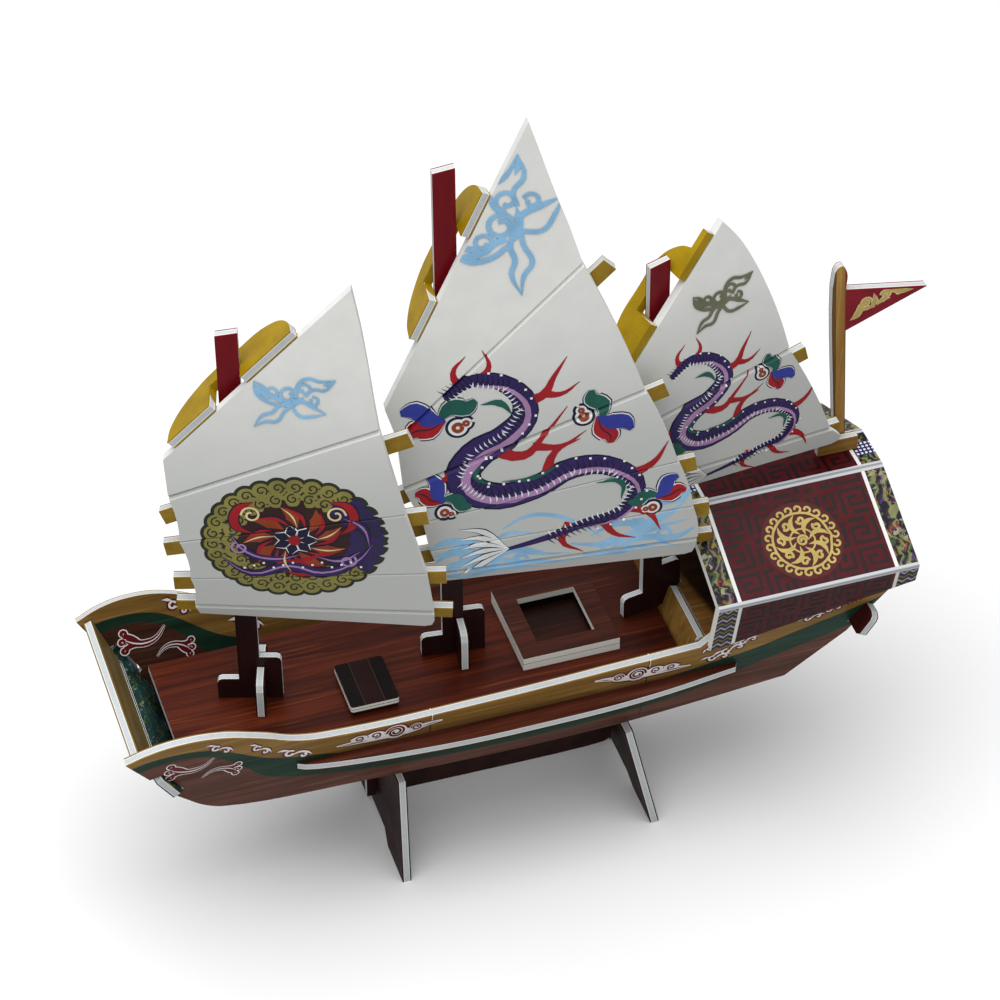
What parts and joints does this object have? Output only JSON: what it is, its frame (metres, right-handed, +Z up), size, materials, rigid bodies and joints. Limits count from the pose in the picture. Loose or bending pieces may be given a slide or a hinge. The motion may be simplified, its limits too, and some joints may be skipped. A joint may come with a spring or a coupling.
{
  "type": "puzzle model of a three-masted junk on a stand",
  "caption": "Foam-board puzzle model of a junk: printed flat boards slotted into a hull, folded cabin, masts with creased sails, flag and a slotted stand.",
  "frame": {"origin": "on the floor under the middle of the model's length, on the hull's centre plane", "axes": "+X from the bow aft, +Y to starboard, +Z up"},
  "size_m": [0.2795, 0.0868, 0.2861],
  "materials": {
    "dark_mast": "satin dark print",
    "dark_stand": "satin dark print",
    "gold_print": "satin gold print",
    "green_print": "satin print",
    "printed_hull": "satin print over white foam core",
    "red_print": "satin print",
    "rosewood_print": "satin wood-grain print",
    "sail_white": "satin white card",
    "tan_print": "satin wood-grain print"
  },
  "bodies": {
    "root": {"bow_lower_ramp": "green_print", "bow_ramp": "green_print", "bow_transom": "tan_print", "cabin_back": "red_print", "cabin_front_frame": "red_print", "cabin_shell": "red_print", "flag": "tan_print", "flag_foot": "tan_print", "fore_batten_1": "gold_print", "fore_batten_2": "gold_print", "fore_batten_3": "gold_print", "fore_batten_4": "gold_print", "fore_mast": "dark_mast", "fore_mast_cross": "dark_mast", "fore_sail": "sail_white", "fore_yard": "gold_print", "hull_bottom": "dark_stand", "hull_side_port": "printed_hull", "hull_side_starboard": "printed_hull", "large_hatch": "rosewood_print", "main_batten_1": "gold_print", "main_batten_2": "gold_print", "main_batten_3": "gold_print", "main_batten_4": "gold_print", "main_batten_5": "gold_print", "main_deck": "rosewood_print", "main_mast": "dark_mast", "main_mast_cross": "dark_mast", "main_sail": "sail_white", "main_yard": "gold_print", "mizzen_batten_1": "gold_print", "mizzen_batten_2": "gold_print", "mizzen_mast": "dark_mast", "mizzen_sail": "sail_white", "mizzen_yard": "gold_print", "poop_bulkhead": "tan_print", "poop_deck": "tan_print", "rail_port": "rosewood_print", "rail_starboard": "rosewood_print", "small_hatch_box": "dark_mast", "small_hatch_lid": "dark_mast", "stand_bar": "dark_stand", "stand_front": "dark_stand", "stand_rear": "dark_stand", "stern_ramp": "printed_hull", "stern_transom": "red_print"}
  },
  "joints": []
}
